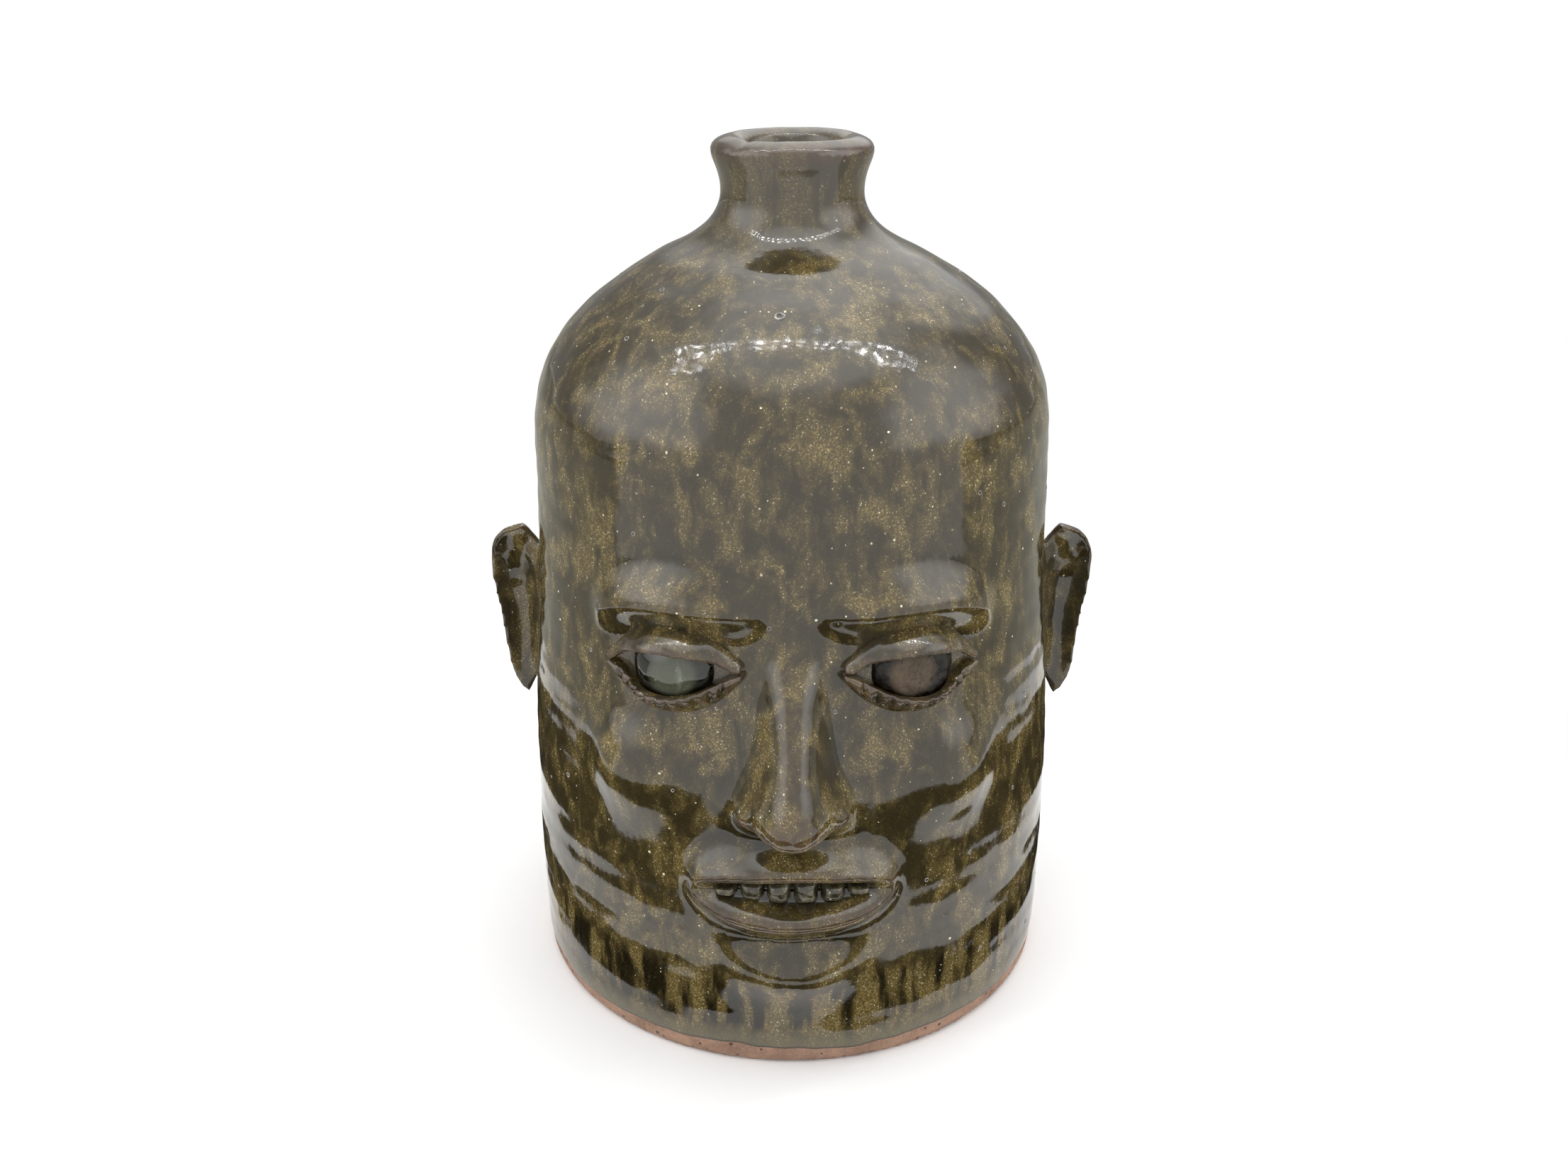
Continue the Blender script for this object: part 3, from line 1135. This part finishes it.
def buildWorld():
    world = bpy.data.worlds.new("studio")
    bpy.context.scene.world = world
    world.use_nodes = True
    tree = world.node_tree
    tree.nodes.clear()
    back = addNode(tree, "ShaderNodeBackground")
    path = addNode(tree, "ShaderNodeLightPath").outputs
    way = addNode(tree, "ShaderNodeTexCoord").outputs["Object"]
    sides = axes(tree, way)
    # what the glaze mirrors: grey low down behind the jug, and the boxes with soft edges
    behind = times(tree, rangeNode(tree, sides["Y"], -0.1, 0.4), rangeNode(tree, sides["Z"], 0.35, 0.9, 1.0, 0.0))
    mirrored = minus(tree, 1.0, times(tree, behind, studio["behind"]))
    above = rangeNode(tree, sides["Z"], -0.02, 0.3)
    stray = times(tree, minus(tree, noiseNode(tree, way, 0.8, 2.0), 0.5), studio["glowWander"])
    outer, inner = [math.cos(math.radians(a)) for a in studio["glow"]]
    for _, place, _, bright in studio["boxes"]:
        aimed = feed(tree, addNode(tree, "ShaderNodeVectorMath", operation="DOT_PRODUCT"), n0=way,
                     n1=tuple((Vector(place) - Vector(studio["aim"])).normalized())).outputs["Value"]
        glow = times(tree, above, rangeNode(tree, plus(tree, aimed, stray), outer, inner, 0.0, bright))
        mirrored = plus(tree, mirrored, glow)
    plain = mathNode(tree, "MAXIMUM", path["Is Camera Ray"], path["Is Transmission Ray"])
    level = plus(tree, studio["daylight"], times(tree, plain, 1.0 - studio["daylight"]))
    glossy = times(tree, path["Is Glossy Ray"], minus(tree, mirrored, studio["daylight"]))
    feed(tree, back, Color=(1, 1, 1, 1), Strength=plus(tree, level, glossy))
    feed(tree, addNode(tree, "ShaderNodeOutputWorld"), Surface=back.outputs[0])


def buildLamps():
    for name, place, (wide, high), bright in studio["boxes"] + [studio["strip"]]:
        lamp = bpy.data.lights.new(name, "AREA")
        lamp.shape = "RECTANGLE"
        lamp.size, lamp.size_y = wide, high
        lamp.energy = bright * math.pi * wide * high
        obj = bpy.data.objects.new(name, lamp)
        bpy.context.scene.collection.objects.link(obj)
        obj.location = place
        obj.rotation_euler = facing(place, studio["aim"])
        obj.visible_camera = False
        obj.visible_glossy = False


def buildFloor():
    # the floor keeps the jug's soft shadow, and away from it the camera sees plain white
    half = studio["floorSize"] / 2
    floor = makeObject("floor", makeMesh("floor", [(-half, -half, 0), (half, -half, 0), (half, half, 0),
                                                   (-half, half, 0)], [(0, 1, 2, 3)]))
    mat, tree, bsdf, place = newMaterial("floorWhite")
    feed(tree, bsdf, Base_Color=(*studio["floorColour"], 1), Roughness=0.9, Specular_IOR_Level=0.0)
    away = feed(tree, addNode(tree, "ShaderNodeVectorMath", operation="LENGTH"), n0=place).outputs["Value"]
    path = addNode(tree, "ShaderNodeLightPath").outputs
    glossy = mathNode(tree, "MAXIMUM", path["Is Glossy Ray"], path["Is Transmission Ray"])
    seen = mathNode(tree, "MAXIMUM", path["Is Camera Ray"], glossy)
    white = times(tree, seen, rangeNode(tree, away, *studio["whiteFrom"]))
    glow = feed(tree, addNode(tree, "ShaderNodeEmission"), Color=(1, 1, 1, 1), Strength=1.0)
    both = feed(tree, addNode(tree, "ShaderNodeMixShader"), n0=white, n1=bsdf.outputs[0], n2=glow.outputs[0])
    feed(tree, tree.nodes["Material Output"], Surface=both.outputs[0])
    floor.data.materials.append(mat)


def toneOf(name, low, high):
    mat, tree, bsdf, place = newMaterial(name + "Card")
    grain = mixNode(tree, noiseNode(tree, place, 0.2, 2.0), (low, low, 0.9 * low, 1), (high, high, 0.92 * high, 1))
    feed(tree, bsdf, Base_Color=grain, Roughness=1.0, Specular_IOR_Level=0.0)
    return mat


def lightTone():
    mat, tree = newMaterial("rowLight")[:2]
    glow = feed(tree, addNode(tree, "ShaderNodeEmission"), Color=(1, 1, 1, 1), Strength=studio["rowBrightness"])
    feed(tree, tree.nodes["Material Output"], Surface=glow.outputs[0])
    return mat


def buildCards():
    tones = {"dark": toneOf("dark", 0.006, 0.016), "grey": toneOf("grey", 0.28, 0.36), "light": lightTone()}
    lift, steps = Vector((0, 0, studio["ringHeight"])), studio["ringSteps"]
    cards = []
    for name, tone, inner, outer, wander, arc, middle in studio["rings"]:
        corners = []
        for side in np.radians(np.linspace(middle - arc, middle + arc, steps + 1) - 90):
            turn = Vector((math.cos(side), math.sin(side), 0))
            move = wander * noise.noise(turn * 2.3)
            corners += [turn * (inner + move) + lift, turn * (outer + move) + lift]
        cards.append((name, tone, corners, [(2 * k, 2 * k + 1, 2 * k + 3, 2 * k + 2) for k in range(steps)]))
    wide, deep = studio["rowLight"]
    for name, z, front, side in studio["rows"]:
        corners = [(side + x + dx, -front + dy, z)
                   for x in np.linspace(-0.5, 0.5, studio["rowCount"]) * studio["rowLength"]
                   for dx, dy in ((-wide / 2, -deep / 2), (-wide / 2, deep / 2),
                                  (wide / 2, deep / 2), (wide / 2, -deep / 2))]
        cards.append((name, "light", corners, [tuple(range(4 * k, 4 * k + 4)) for k in range(studio["rowCount"])]))
    for name, tone, corners, quads in cards:
        card = makeObject(name, makeMesh(name, [tuple(c) for c in corners], quads))
        card.data.materials.append(tones[tone])
        for ray in ("camera", "diffuse", "shadow", "transmission"):
            setattr(card, "visible_" + ray, False)


buildWorld()
buildLamps()
buildFloor()
buildCards()
print("studio built")

brown, pale, tooth, clay = brownGlaze(), otherGlaze("paleGlaze"), otherGlaze("toothGlaze"), bareClay()
finishes = {"eyeball_right": ("pale_glaze", pale), "eyeball_left": ("bare_clay", clay)}
finishes.update({"tooth_%d" % k: ("tooth_glaze", tooth) for k in range(1, 7)})
for name, obj in pieces.items():
    slot, mat = finishes.get(name, ("brown_glaze", brown))
    obj.data.materials.clear()
    obj.data.materials.append(mat)
    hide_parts(name)
    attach(obj, "root")
addBlisters(otherGlaze("blisterGlaze"))
print("materials given to", len(pieces) + 1, "pieces")
